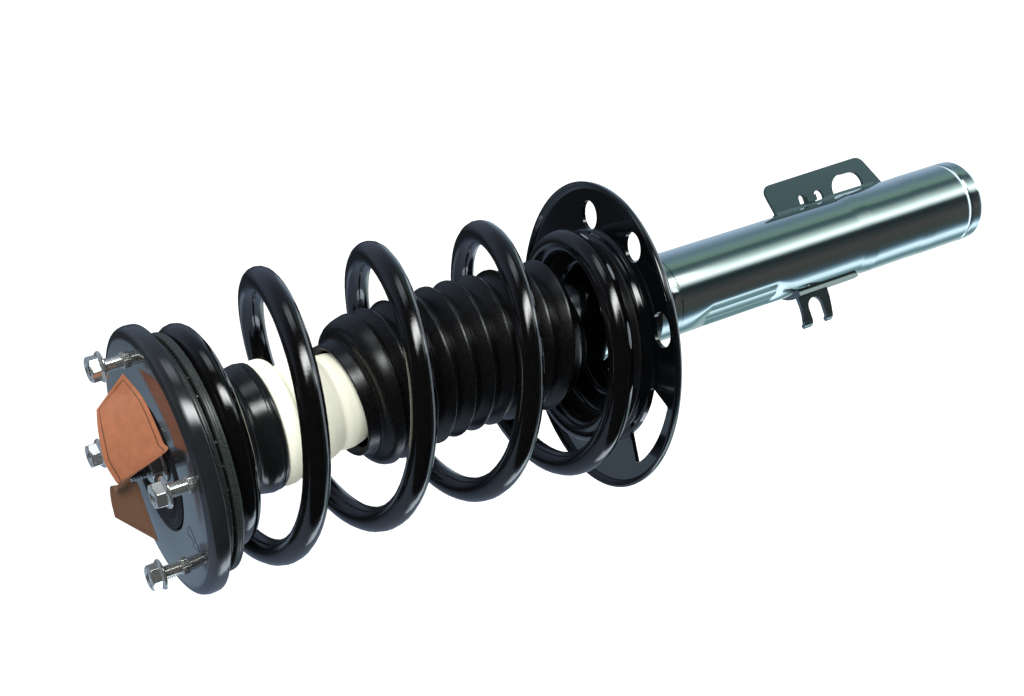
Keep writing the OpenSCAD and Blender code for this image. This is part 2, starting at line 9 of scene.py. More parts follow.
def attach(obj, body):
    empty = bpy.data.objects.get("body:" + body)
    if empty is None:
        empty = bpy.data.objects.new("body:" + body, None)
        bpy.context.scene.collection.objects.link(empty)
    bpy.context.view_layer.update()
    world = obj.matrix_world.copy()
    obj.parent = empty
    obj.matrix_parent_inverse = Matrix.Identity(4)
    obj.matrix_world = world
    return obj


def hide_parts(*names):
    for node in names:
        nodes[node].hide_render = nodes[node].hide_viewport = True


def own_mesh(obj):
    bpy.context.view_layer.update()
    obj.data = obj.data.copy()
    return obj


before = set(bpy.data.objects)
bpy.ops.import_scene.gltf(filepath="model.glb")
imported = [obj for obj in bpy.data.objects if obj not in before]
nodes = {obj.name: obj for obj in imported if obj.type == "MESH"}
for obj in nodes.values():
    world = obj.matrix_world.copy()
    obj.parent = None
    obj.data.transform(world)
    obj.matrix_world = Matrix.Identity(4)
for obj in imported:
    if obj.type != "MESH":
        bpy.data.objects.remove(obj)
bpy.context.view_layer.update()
MM = 0.001

# ---------------------------------------------------------------- camera
# A short telephoto that looks down on the strut from the front. It is rolled, so that the strut lies
# across the view with its top mount at the lower left.
camera_at = Vector((-0.00221, -0.83462, 0.83246))
view_line = Vector((0.00098, 0.88433, -0.46685))
picture_up = Vector((0.94909, -0.14788, -0.27813))
lens_mm = 53.05
film_width_mm = 36.0

lens = bpy.data.cameras.new("product_lens")
lens.lens = lens_mm
lens.sensor_width = film_width_mm
lens.clip_start = 0.05
camera = bpy.data.objects.new("product_camera", lens)
bpy.context.scene.collection.objects.link(camera)
picture_right = view_line.cross(picture_up).normalized()
camera.matrix_world = Matrix.Translation(camera_at) @ Matrix(
    (picture_right, picture_right.cross(view_line).normalized(), -view_line)
).transposed().to_4x4()
bpy.context.scene.camera = camera

# ---------------------------------------------------------------- studio
# A pale floor and a white surround, soft lamps for matt surfaces, and round the strut a shell of black,
# grey and bluish-white cloths over a white ground, with soft-edged strips of light, which only polished
# surfaces see.
floor_z = -0.30
floor_size = 60.0
floor_glow = 0.80
surround_fill = 0.75
shell_radius = 1.25
shell_low, shell_high = -2.4, 1.7
cloth_change = (-0.46, -0.22)
# direction in degrees round the damper and colour of each cloth: first the low ones, which the tube shows
low_cloths = [
    (-178, (0.62, 0.82, 0.92)), (-171, (0.20, 0.33, 0.42)), (-162, (0.075, 0.11, 0.13)),
    (-148, (0.060, 0.072, 0.068)), (-124, (0.075, 0.074, 0.068)), (-108, (0.044, 0.052, 0.054)),
    (-94, (0.018, 0.028, 0.030)), (-87, (0.055, 0.08, 0.085)), (-81, (0.62, 0.74, 0.72)),
    (-73, (1.60, 1.75, 1.66)), (-67, (1.20, 1.42, 1.34)), (-59, (0.66, 0.82, 0.76)),
    (-51, (0.32, 0.42, 0.40)), (-43, (0.10, 0.16, 0.17)), (-33, (0.060, 0.11, 0.11)),
    (-23, (0.18, 0.29, 0.24)), (-12, (0.20, 0.31, 0.29)), (-1, (0.16, 0.26, 0.29)),
    (10, (0.16, 0.25, 0.30)), (22, (0.24, 0.33, 0.43)), (40, (0.36, 0.48, 0.62)), (60, (0.46, 0.59, 0.70)),
    (80, (0.62, 0.74, 0.78)), (104, (0.60, 0.72, 0.76)), (124, (0.50, 0.62, 0.64)),
    (136, (0.20, 0.33, 0.34)), (148, (0.16, 0.28, 0.31)), (158, (0.34, 0.52, 0.58)),
    (166, (0.90, 1.15, 1.22)), (173, (1.00, 1.26, 1.40)),
]
# and then the high ones, which the spring and the mount show
high_cloths = [
    (-178, (0.012, 0.015, 0.018)), (-120, (0.006, 0.007, 0.009)), (-40, (0.006, 0.007, 0.008)),
    (-24, (0.03, 0.035, 0.045)), (0, (0.12, 0.15, 0.20)), (30, (0.20, 0.25, 0.34)),
    (52, (0.15, 0.19, 0.26)), (70, (0.020, 0.024, 0.030)), (86, (0.030, 0.038, 0.050)),
    (102, (0.15, 0.19, 0.27)), (125, (0.22, 0.28, 0.38)), (145, (0.28, 0.35, 0.45)),
    (171, (0.26, 0.33, 0.42)), (175, (0.014, 0.017, 0.020)),
]
ground_change = (-1.62, -1.34)
ground_cloth = (1.3, 1.5, 1.7)


def blank_material(name):
    """A material with an empty tree but for its output, and handles to build it."""
    material = bpy.data.materials.new(name)
    material.use_nodes = True
    material.node_tree.nodes.clear()
    out = material.node_tree.nodes.new("ShaderNodeOutputMaterial")
    return material, material.node_tree.nodes, material.node_tree.links, out.inputs["Surface"]


def calculated(n, l, operation, *sources):
    """The result of a Math node, whose sources are sockets to link or plain numbers."""
    node = n.new("ShaderNodeMath")
    node.operation = operation
    for socket, source in zip(node.inputs, sources):
        if isinstance(source, (int, float)):
            socket.default_value = source
        else:
            l.new(source, socket)
    return node.outputs[0]


def ranged(n, l, value, given=(0.0, 1.0), to=(0.0, 1.0), shape="LINEAR"):
    """A value carried over from one range to another."""
    node = n.new("ShaderNodeMapRange")
    node.interpolation_type = shape
    node.inputs["From Min"].default_value, node.inputs["From Max"].default_value = given
    node.inputs["To Min"].default_value, node.inputs["To Max"].default_value = to
    l.new(value, node.inputs["Value"])
    return node.outputs[0]


def mixed(n, l, factor, *colours):
    """The mix of two colours, which are sockets to link or plain red, green and blue."""
    node = n.new("ShaderNodeMix")
    node.data_type = "RGBA"
    l.new(factor, node.inputs["Factor"])
    for name, colour in zip("AB", colours):
        if isinstance(colour, (tuple, list)):
            node.inputs[name].default_value = (*colour, 1)
        else:
            l.new(colour, node.inputs[name])
    return node.outputs["Result"]


def background_rays(n, l):
    """1 for camera, mirror and glass rays, which see the surround as white, and 0 for the rest."""
    path = n.new("ShaderNodeLightPath")
    seen = calculated(n, l, "MAXIMUM", path.outputs["Is Camera Ray"], path.outputs["Is Glossy Ray"])
    return calculated(n, l, "MAXIMUM", seen, path.outputs["Is Transmission Ray"])


bpy.ops.object.select_all(action="DESELECT")
bpy.ops.mesh.primitive_plane_add(size=floor_size, location=(0, 0, floor_z))
floor = bpy.context.object
floor.name = "floor"
floor.visible_glossy = False
floor_paint, n, l, surface = blank_material("floor_paint")
matt = n.new("ShaderNodeBsdfDiffuse")
matt.inputs["Color"].default_value = (0.45, 0.45, 0.45, 1)
glow = n.new("ShaderNodeEmission")
glow.inputs["Color"].default_value = (1, 1, 1, 1)
l.new(calculated(n, l, "MULTIPLY", background_rays(n, l), floor_glow), glow.inputs["Strength"])
both = n.new("ShaderNodeAddShader")
l.new(matt.outputs[0], both.inputs[0])
l.new(glow.outputs[0], both.inputs[1])
l.new(both.outputs[0], surface)
floor.data.materials.append(floor_paint)

surround = bpy.data.worlds.new("white_surround")
surround.use_nodes = True
n, l = surround.node_tree.nodes, surround.node_tree.links
n.clear()
out = n.new("ShaderNodeOutputWorld")
seen = n.new("ShaderNodeBackground")
seen.inputs["Color"].default_value = (1, 1, 1, 1)
seen.inputs["Strength"].default_value = 1.0
fill = n.new("ShaderNodeBackground")
fill.inputs["Color"].default_value = (1, 1, 1, 1)
fill.inputs["Strength"].default_value = surround_fill
choice = n.new("ShaderNodeMixShader")
l.new(background_rays(n, l), choice.inputs["Fac"])
l.new(fill.outputs[0], choice.inputs[1])
l.new(seen.outputs[0], choice.inputs[2])
l.new(choice.outputs[0], out.inputs["Surface"])
bpy.context.scene.world = surround
bpy.context.scene.view_settings.view_transform = "Standard"


def for_mirrors_only(panel):
    """The panel shows in polished surfaces and nowhere else."""
    panel.visible_camera = False
    panel.visible_diffuse = False
    panel.visible_shadow = False
    panel.visible_transmission = False


def cloth_colours(n, l, around, cloths, brightest):
    """A colour ramp round the strut, dimmed so that the brightest cloth is 1."""
    ramp = n.new("ShaderNodeValToRGB")
    places = sorted(((angle + 180) % 360 / 360, colour) for angle, colour in cloths)
    for index, (at, colour) in enumerate(places):
        stop = ramp.color_ramp.elements[index] if index < 2 else ramp.color_ramp.elements.new(at)
        stop.position = at
        stop.color = [part / brightest for part in colour] + [1]
    l.new(around, ramp.inputs["Fac"])
    return ramp.outputs["Color"]


bpy.ops.mesh.primitive_cylinder_add(
    vertices=180, radius=shell_radius, depth=shell_high - shell_low, end_fill_type="NGON",
    location=(0, 0, (shell_low + shell_high) / 2),
)
bpy.ops.object.transform_apply(location=True, rotation=True, scale=True)
shell = bpy.context.object
shell.name = "cloth_shell"
cloth, n, l, surface = blank_material("studio_cloth")
place = n.new("ShaderNodeTexCoord")
around = n.new("ShaderNodeTexGradient")
around.gradient_type = "RADIAL"
l.new(place.outputs["Object"], around.inputs["Vector"])
brightest = max(max(colour) for _, colour in low_cloths + high_cloths + [(0, ground_cloth)])
split = n.new("ShaderNodeSeparateXYZ")
l.new(place.outputs["Object"], split.inputs[0])
low_colours = cloth_colours(n, l, around.outputs["Fac"], low_cloths, brightest)
high_colours = cloth_colours(n, l, around.outputs["Fac"], high_cloths, brightest)
cloths = mixed(n, l, ranged(n, l, split.outputs["Z"], cloth_change), low_colours, high_colours)
ground_colour = [part / brightest for part in ground_cloth]
cloths = mixed(n, l, ranged(n, l, split.outputs["Z"], ground_change), ground_colour, cloths)
light = n.new("ShaderNodeEmission")
light.inputs["Strength"].default_value = brightest
l.new(cloths, light.inputs["Color"])
l.new(light.outputs[0], surface)
shell.data.materials.append(cloth)
for_mirrors_only(shell)


def light_strip(name, azimuth, distance, low, high, width, strength, tint, soft=0.35, soft_ends=0.3):
    """An upright glowing strip that faces the damper's axis and fades towards its edges."""
    bpy.ops.object.select_all(action="DESELECT")
    bpy.ops.mesh.primitive_plane_add(size=1)
    strip = bpy.context.object
    strip.name = name
    turn = math.radians(azimuth)
    strip.matrix_world = (
        Matrix.Translation((distance * math.cos(turn), distance * math.sin(turn), (low + high) / 2))
        @ Matrix.Rotation(turn, 4, "Z") @ Matrix.Rotation(math.radians(90), 4, "Y")
        @ Matrix.Diagonal((high - low, width, 1, 1))
    )
    paint, n, l, surface = blank_material(name + "_glow")
    place = n.new("ShaderNodeTexCoord")
    split = n.new("ShaderNodeSeparateXYZ")
    l.new(place.outputs["Object"], split.inputs[0])
    fades = []
    for axis, fading in (("X", soft_ends), ("Y", soft)):
        off = calculated(n, l, "ABSOLUTE", split.outputs[axis])
        fades.append(ranged(n, l, off, (0.5, 0.5 - fading), shape="SMOOTHSTEP"))
    level = calculated(n, l, "MULTIPLY", calculated(n, l, "MULTIPLY", *fades), strength)
    light = n.new("ShaderNodeEmission")
    light.inputs["Color"].default_value = (*tint, 1)
    l.new(level, light.inputs["Strength"])
    clear = n.new("ShaderNodeBsdfTransparent")
    seen = n.new("ShaderNodeAddShader")
    l.new(light.outputs[0], seen.inputs[0])
    l.new(clear.outputs[0], seen.inputs[1])
    l.new(seen.outputs[0], surface)
    strip.data.materials.append(paint)
    for_mirrors_only(strip)


light_strip("key_strip", -60, 1.15, -0.60, 1.10, 0.54, 13.0, (0.97, 1.0, 1.0), soft=0.46, soft_ends=0.3)
light_strip("side_strip", -22, 1.10, 0.00, 0.80, 0.66, 1.6, (0.86, 0.93, 1.0), soft=0.46, soft_ends=0.2)
light_strip("far_strip", 160, 1.15, -0.55, 0.80, 0.32, 2.6, (0.80, 0.90, 1.0), soft=0.12)
light_strip("face_card", 90, 1.10, 0.66, 1.10, 0.60, 0.36, (0.60, 0.80, 1.0), soft=0.3)
light_strip("foot_strip", -74, 1.15, -2.30, -1.15, 0.60, 6.0, (0.90, 0.97, 1.0), soft=0.4)


def soft_lamp(name, azimuth, elevation, distance, size, watts):
    """A square lamp that faces the middle of the strut and lights matt surfaces only."""
    data = bpy.data.lights.new(name, "AREA")
    data.size = size
    data.energy = watts
    lamp = bpy.data.objects.new(name, data)
    turn, rise = math.radians(azimuth), math.radians(elevation)
    away = Vector((math.cos(turn) * math.cos(rise), math.sin(turn) * math.cos(rise), math.sin(rise)))
    lamp.location = Vector((0, 0, 0.35)) + away * distance
    lamp.rotation_mode = "QUATERNION"
    lamp.rotation_quaternion = away.to_track_quat("Z", "Y")
    lamp.visible_glossy = False
    bpy.context.scene.collection.objects.link(lamp)


soft_lamp("key_lamp", -62, 28, 1.9, 1.0, 42)
soft_lamp("top_lamp", 20, 35, 2.0, 1.2, 22)
soft_lamp("back_lamp", 150, 30, 2.2, 1.2, 12)

# ---------------------------------------------------------------- damper tube
# Drawn steel tube, ground bright and clear-lacquered: a thicker lower end for the knuckle clamp with a
# limit groove, a swage, and a flat pressed into its side to clear the drive shaft. Pressed in at the foot
# is a base cap.
tube_r, clamp_r, thick_r, tube_wall = 28.0, 29.5, 29.15, 2.5
tube_top, clamp_seat, clamp_top, swage_top = 380.0, 54.0, 104.0, 116.0
flat_centre, flat_low, flat_high, flat_depth = -152.0, 180.0, 266.0, 2.9
flat_ramp, flat_slope, flat_edge, flat_halo = 15.0, 0.20, 1.0, 8.0
pip_x, pip_z, pip_high, pip_wide = -2.2, 281.6, 0.4, 3.36


def filleted(outline):
    """The points of an outline whose corners, (radius, height) or (radius, height, fillet), are rounded."""
    points = []
    for index, corner in enumerate(outline):
        at = Vector(corner[:2])
        if len(corner) < 3:
            points.append(at)
            continue
        before = Vector(outline[index - 1][:2]) - at
        after = Vector(outline[(index + 1) % len(outline)][:2]) - at
        half = before.angle(after) / 2
        reach = min(corner[2] / math.tan(half), 0.49 * before.length, 0.49 * after.length)
        size = reach * math.tan(half)
        middle = at + (before.normalized() + after.normalized()).normalized() * size / math.sin(half)
        first = at + before.normalized() * reach - middle
        last = at + after.normalized() * reach - middle
        start = math.atan2(first.y, first.x)
        sweep = (math.atan2(last.y, last.x) - start + math.pi) % math.tau - math.pi
        steps = max(2, round(abs(sweep) / math.radians(12)))
        points += [
            middle + size * Vector((math.cos(start + sweep * k / steps), math.sin(start + sweep * k / steps)))
            for k in range(steps + 1)
        ]
    return points


def chosen_only(piece):
    """Selects the piece alone and makes it active."""
    bpy.ops.object.select_all(action="DESELECT")
    bpy.context.view_layer.objects.active = piece
    piece.select_set(True)
    return piece


def piece_from(name, data):
    """A selected, active object with the given data."""
    piece = bpy.data.objects.new(name, data)
    bpy.context.scene.collection.objects.link(piece)
    return chosen_only(piece)


def new_piece(name, points, edges, faces=()):
    """A selected, active object from points in millimetres."""
    mesh = bpy.data.meshes.new(name)
    mesh.from_pydata([Vector(point) * MM for point in points], edges, faces)
    return piece_from(name, mesh)


def open_mesh():
    """Opens the active piece for editing, with all of it selected."""
    bpy.ops.object.mode_set(mode="EDIT")
    bpy.ops.mesh.select_all(action="SELECT")


def close_mesh():
    """Turns the faces of the open piece outwards and ends the editing."""
    bpy.ops.mesh.select_all(action="SELECT")
    bpy.ops.mesh.normals_make_consistent(inside=False)
    bpy.ops.object.mode_set(mode="OBJECT")


def turned(name, outline, steps=144, sharp=40):
    """A piece spun round the damper's axis from a closed outline in millimetres."""
    corners = filleted(outline)
    piece = new_piece(
        name, [(r, 0, z) for r, z in corners], [(i, (i + 1) % len(corners)) for i in range(len(corners))]
    )
    open_mesh()
    bpy.ops.mesh.spin(steps=steps, angle=math.tau, center=(0, 0, 0), axis=(0, 0, 1))
    bpy.ops.mesh.select_all(action="SELECT")
    bpy.ops.mesh.remove_doubles(threshold=0.005 * MM)
    close_mesh()
    bpy.ops.object.shade_smooth_by_angle(angle=math.radians(sharp))
    return piece


def dressed(piece, material, body, *stands_for):
    """Gives a modelled piece its material, its body and the CAD nodes that it stands for."""
    piece.data.materials.clear()
    piece.data.materials.append(material)
    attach(piece, body)
    if stands_for:
        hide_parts(*stands_for)


def coat(node, material):
    """Gives a CAD node a material."""
    for slot in nodes[node].material_slots:
        slot.material = material


def node_group(name, inputs, outputs):
    """A shader node group with its sockets, and handles to build it."""
    group = bpy.data.node_groups.new(name, "ShaderNodeTree")
    for label, kind, value in inputs:
        socket = group.interface.new_socket(label, in_out="INPUT", socket_type=kind)
        socket.default_value = value
    for label, kind in outputs:
        group.interface.new_socket(label, in_out="OUTPUT", socket_type=kind)
    ends = group.nodes.new("NodeGroupInput"), group.nodes.new("NodeGroupOutput")
    return group, group.nodes, group.links, ends[0].outputs, ends[1].inputs


number = "NodeSocketFloat"
# noise whose grains are Size millimetres across, drawn out along Z by Stretch
grain_group, n, l, given, made = node_group(
    "metal_grain",
    [("Size", number, 1.0), ("Stretch", number, 1.0), ("Detail", number, 2.0)],
    [("Value", number)],
)
place = n.new("ShaderNodeTexCoord")
finer = calculated(n, l, "DIVIDE", 1000.0, given["Size"])
drawn = n.new("ShaderNodeCombineXYZ")
drawn.inputs[0].default_value = 1.0
drawn.inputs[1].default_value = 1.0
l.new(calculated(n, l, "DIVIDE", 1.0, given["Stretch"]), drawn.inputs[2])
shape = n.new("ShaderNodeVectorMath")
shape.operation = "MULTIPLY"
l.new(place.outputs["Object"], shape.inputs[0])
l.new(drawn.outputs[0], shape.inputs[1])
noise = n.new("ShaderNodeTexNoise")
l.new(shape.outputs[0], noise.inputs["Vector"])
l.new(finer, noise.inputs["Scale"])
l.new(given["Detail"], noise.inputs["Detail"])
l.new(noise.outputs["Fac"], made["Value"])

# a mask of small separate specks, Size millimetres apart, on the given Share of the cells
speck_group, n, l, given, made = node_group(
    "specks",
    [("Size", number, 2.0), ("Share", number, 0.2), ("Radius", number, 0.25)],
    [("Mask", number)],
)
place = n.new("ShaderNodeTexCoord")
finer = calculated(n, l, "DIVIDE", 1000.0, given["Size"])
cells = n.new("ShaderNodeTexVoronoi")
l.new(place.outputs["Object"], cells.inputs["Vector"])
l.new(finer, cells.inputs["Scale"])
split = n.new("ShaderNodeSeparateColor")
l.new(cells.outputs["Color"], split.inputs[0])
chosen = calculated(n, l, "LESS_THAN", split.outputs[0], given["Share"])
near = n.new("ShaderNodeMapRange")
near.inputs["To Min"].default_value = 1.0
near.inputs["To Max"].default_value = 0.0
l.new(cells.outputs["Distance"], near.inputs["Value"])
l.new(given["Radius"], near.inputs["From Max"])
l.new(calculated(n, l, "MULTIPLY", chosen, near.outputs[0]), made["Mask"])


def placed_group(n, group, values):
    """A group in a material's tree, with its inputs set in their order."""
    node = n.new("ShaderNodeGroup")
    node.node_tree = group
    for socket, value in zip(node.inputs, values):
        socket.default_value = value
    return node


def finish_material(name, plain, shade, rough, grain, bump=0.0, specks=None, **sockets):
    """A Principled material: plain and shade colours mixed by a grain, a roughness range over the same grain,
    a fine bump in millimetres, and specks of a third colour. Further sockets are set by name."""
    material, n, l, surface = blank_material(name)
    shader = n.new("ShaderNodeBsdfPrincipled")
    l.new(shader.outputs[0], surface)
    for socket, value in sockets.items():
        shader.inputs[socket.replace("_", " ")].default_value = value
    grains = placed_group(n, grain_group, grain)
    spread = ranged(n, l, grains.outputs["Value"], (0.3, 0.7))
    colour = mixed(n, l, spread, plain, shade)
    l.new(ranged(n, l, spread, to=rough), shader.inputs["Roughness"])
    if specks:
        *speck_sizes, speck_colour = specks
        dots = placed_group(n, speck_group, speck_sizes)
        colour = mixed(n, l, dots.outputs["Mask"], colour, speck_colour)
    l.new(colour, shader.inputs["Base Color"])
    if bump:
        relief = n.new("ShaderNodeBump")
        relief.inputs["Distance"].default_value = bump * MM
        l.new(grains.outputs["Value"], relief.inputs["Height"])
        l.new(relief.outputs[0], shader.inputs["Normal"])
    return material


lacquered_steel = finish_material(
    "lacquered_steel", (0.70, 0.75, 0.76), (0.64, 0.70, 0.71), (0.07, 0.11), (0.6, 60.0, 2.0), bump=0.003,
    specks=(3.0, 0.06, 0.10, (0.35, 0.38, 0.38)), Metallic=1.0,
)
machined_steel = finish_material(
    "machined_steel", (0.46, 0.47, 0.49), (0.36, 0.37, 0.38), (0.22, 0.38), (0.5, 0.3, 3.0), bump=0.01,
    Metallic=0.95,
)
sintered_iron = finish_material(
    "sintered_iron", (0.30, 0.29, 0.27), (0.18, 0.17, 0.16), (0.4, 0.6), (0.35, 1.0, 4.0), bump=0.03,
    Metallic=0.8,
)


def steps_between(low, high, spacing):
    """Heights from low to high, about spacing apart."""
    count = max(1, round((high - low) / spacing))
    return [low + (high - low) * k / count for k in range(count + 1)]


flat_rings = steps_between(flat_low - 10, flat_high + 12, 1.6)
pip_rings = steps_between(pip_z - 5, pip_z + 5, 0.8)
damper_tube = turned("damper_tube", [
    (clamp_r, 0, 1.2), (clamp_r, 3), (clamp_r, 8), (clamp_r, 10.8), (clamp_r - 0.1, 11.1),
    (clamp_r - 0.3, 11.3), (clamp_r - 0.3, 11.9), (clamp_r - 0.1, 12.1), (clamp_r, 12.4), (clamp_r, 15),
    (clamp_r, 22), (clamp_r, 36), (clamp_r, clamp_seat - 6, 24), (thick_r, clamp_seat + 6, 24),
    (thick_r, 74), (thick_r, 88), (thick_r, clamp_top, 16), (tube_r, swage_top, 16),
    *[(tube_r, z) for z in steps_between(swage_top + 8, flat_low - 12, 12)],
    *[(tube_r, z) for z in flat_rings], *[(tube_r, z) for z in pip_rings], (tube_r, 300), (tube_r, 340),
    (tube_r, tube_top, 0.6), (tube_r - tube_wall, tube_top), (tube_r - tube_wall, swage_top),
    (clamp_r - tube_wall, clamp_top), (clamp_r - tube_wall, 0, 0.5)], steps=240)
flat_way = Vector((math.cos(math.radians(flat_centre)), math.sin(math.radians(flat_centre)), 0))
for vertex in damper_tube.data.vertices:
    point = vertex.co / MM
    if math.hypot(point.x, point.y) < tube_r - 0.5:
        continue
    # the pressed flat, with sloping ends and softened long edges
    into_end = max(0.0, flat_low + flat_ramp - point.z, point.z - flat_high + flat_ramp)
    past = point.dot(flat_way) - (tube_r - flat_depth + into_end * flat_slope)
    if past > -flat_halo:
        vertex.co -= flat_way * (past + math.sqrt(past * past + flat_edge * flat_edge)) / 2 * MM
    # the locating pip under the spring seat
    if point.y < 0:
        off = math.hypot(point.x - pip_x, point.z - pip_z)
        vertex.co.y -= pip_high * math.exp(-(off / pip_wide) ** 4) * MM
dressed(damper_tube, lacquered_steel, "strut_body", "outer_tube")
coat("base_cap", machined_steel)

# ---------------------------------------------------------------- damper insides
# Steel pressure tube with its sintered foot valve and rod guide, and the piston with its plastic band and its
# nut at the rod's end. A lip seal closes the tube over them, and an elastomer ring softens the rebound.
band_plastic = finish_material(
    "band_plastic", (0.24, 0.17, 0.12), (0.18, 0.12, 0.09), (0.45, 0.6), (0.4, 1.0, 3.0), bump=0.01
)
seal_rubber = finish_material(
    "seal_rubber", (0.008, 0.008, 0.0085), (0.005, 0.005, 0.0055), (0.35, 0.5), (0.5, 1.0, 3.0), bump=0.02
)
for node in ("inner_tube", "piston_nut"):
    coat(node, machined_steel)
for node in ("base_valve", "rod_guide", "piston"):
    coat(node, sintered_iron)
for node in ("rod_seal", "rebound_stop"):
    coat(node, seal_rubber)
coat("piston_band", band_plastic)

# ---------------------------------------------------------------- lower spring seat
# One deep pressing in dipped black paint, welded to the tube over a support cone and leaning with the
# spring: a sunk hub, a raised ring for the dead coil, a pan with drain holes and a curled rim. A thin
# rubber ring lies on it.
seat_at, seat_tilt, seat_roll = (-10.2, -7.8, 336.0), 8.0, -2.6
cup_high, pan_z = 4.4, -2.0
seat_rim, window_size, cutter_reach = 98.4, 9.3, 15
round_windows = [(74.0, -19.5), (44.3, -64.3), (-7.4, -78.8), (-10.0, -78.6)]
crescent_turn, crescent_in, crescent_out = -149.0, 67.5, 86.5
gloss_paint = finish_material(
    "gloss_paint", (0.0012, 0.0015, 0.0019), (0.0019, 0.0023, 0.0028), (0.07, 0.11), (9.0, 1.0, 3.0),
    bump=0.02, specks=(2.2, 0.05, 0.10, (0.10, 0.11, 0.12)), Coat_Weight=0.5, Coat_Roughness=0.03,
)


def cut_away(piece, cutter):
    """Cuts the cutter out of the piece and removes the cutter."""
    cut = chosen_only(piece).modifiers.new("cut", "BOOLEAN")
    cut.operation = "DIFFERENCE"
    cut.solver = "EXACT"
    cut.object = cutter
    bpy.ops.object.modifier_apply(modifier="cut")
    bpy.data.objects.remove(cutter)


def prism(name, outline, low, high):
    """An upright prism on an outline of points or (x, y, fillet) corners, in millimetres."""
    corners = filleted(outline)
    block = new_piece(name, [(x, y, low) for x, y in corners], [], [list(range(len(corners)))])
    open_mesh()
    bpy.ops.mesh.extrude_region_move(TRANSFORM_OT_translate={"value": (0, 0, (high - low) * MM)})
    close_mesh()
    return block


def on_circle(radius, turn):
    """The point of a circle round the axis at an angle of turn degrees."""
    return radius * math.cos(math.radians(turn)), radius * math.sin(math.radians(turn))


seat_pressing = turned("seat_pressing", [
    (27.0, -12.5), (42.5, -12.5, 3), (46.6, -10.0, 3), (48.4, 1.9, 2), (62.0, 1.9, 2), (62.8, 0.0, 2),
    (64.0, -3.5, 1.5), (66.0, -4.5, 1.5), (94.6, -4.5, 3), (97.6, -3.0, 3), (seat_rim, 1.0, 1.2),
    (97.6, 1.9, 0.8), (96.2, 1.6, 0.8), (95.6, -0.6, 2), (94.2, pan_z, 2), (68.2, pan_z, 2.5),
    (66.2, -0.5, 2), (65.4, 2.6, 2.5), (63.6, cup_high, 2.5), (48.0, cup_high, 3), (45.8, 2.4, 3),
    (44.0, -7.6, 3), (41.5, -10.0, 3), (27.0, -10.0)],
    steps=180, sharp=50)
for x, y in round_windows:
    bpy.ops.mesh.primitive_cylinder_add(
        vertices=48, radius=window_size * MM, depth=2 * cutter_reach * MM, location=(x * MM, y * MM, 0)
    )
    cut_away(seat_pressing, bpy.context.object)
outer_arc = [on_circle(crescent_out, angle) for angle in range(-18, 19, 3)]
inner_arc = [on_circle(crescent_in, angle) for angle in range(12, -13, -3)]
crescent = prism("crescent_cutter", [
    (81.5, -30.0, 2.4), *outer_arc, (81.5, 30.2, 2.4), (62.3, 26.0, 2.4), *inner_arc,
    (64.6, -19.6, 2.4)], -cutter_reach, cutter_reach)
crescent.rotation_euler.z = math.radians(crescent_turn)
bpy.ops.object.transform_apply(location=False, rotation=True, scale=False)
cut_away(seat_pressing, crescent)
seat_pressing.matrix_world = (
    Matrix.Translation(Vector(seat_at) * MM) @ Matrix.Rotation(math.radians(seat_roll), 4, "X")
    @ Matrix.Rotation(math.radians(seat_tilt), 4, "Y")
)
bpy.ops.object.transform_apply(location=True, rotation=True, scale=True)
bpy.ops.object.shade_smooth_by_angle(angle=math.radians(35))
dressed(seat_pressing, gloss_paint, "strut_body", "lower_spring_seat")
coat("seat_support", gloss_paint)
coat("lower_insulator", seal_rubber)

# ---------------------------------------------------------------- brackets on the tube
# Two sheet steel pressings welded to the tube: a standing plate for the brake line, painted dark, and a
# forked clip for a hose grommet, left bright.
bracket_paint = finish_material(
    "bracket_paint", (0.052, 0.090, 0.096), (0.046, 0.080, 0.085), (0.30, 0.38), (1.2, 1.0, 3.0), bump=0.005,
    Metallic=0.6,
)
clip_steel = finish_material(
    "clip_steel", (0.36, 0.40, 0.40), (0.30, 0.34, 0.34), (0.14, 0.22), (1.0, 1.0, 3.0), bump=0.004,
    Metallic=1.0,
)


def round_edges(piece, width, segments, angle):
    """Rounds the piece's edges that turn by more than angle degrees, width millimetres wide."""
    rounding = piece.modifiers.new("edge_rounding", "BEVEL")
    rounding.width = width * MM
    rounding.segments = segments
    rounding.limit_method = "ANGLE"
    rounding.angle_limit = math.radians(angle)
    bpy.ops.object.modifier_apply(modifier="edge_rounding")
    bpy.ops.object.shade_smooth_by_angle(angle=math.radians(angle))


def edge_rounded(node, name, width):
    """A copy of a CAD node's mesh, merged and tidied, with its edges rounded by width millimetres."""
    piece = piece_from(name, nodes[node].data.copy())
    open_mesh()
    bpy.ops.mesh.remove_doubles(threshold=0.004 * MM)
    bpy.ops.mesh.dissolve_limited(angle_limit=math.radians(1))
    close_mesh()
    round_edges(piece, width, 2, 35)
    evened = piece.modifiers.new("even_faces", "WEIGHTED_NORMAL")
    evened.keep_sharp = True
    bpy.ops.object.modifier_apply(modifier="even_faces")
    return piece


dressed(edge_rounded("line_bracket", "line_plate", 0.45), bracket_paint, "strut_body", "line_bracket")
dressed(edge_rounded("hose_clip", "forked_clip", 0.45), clip_steel, "strut_body", "hose_clip")

# ---------------------------------------------------------------- striker cap
# Moulded plastic cap, pushed over the tube's top. It keeps dirt off the seal, and the bump stop strikes it
# at full compression.
cap_plastic = finish_material(
    "cap_plastic", (0.004, 0.004, 0.0045), (0.003, 0.003, 0.0034), (0.25, 0.35), (1.0, 1.0, 3.0), bump=0.01
)
coat("striker_cap", cap_plastic)

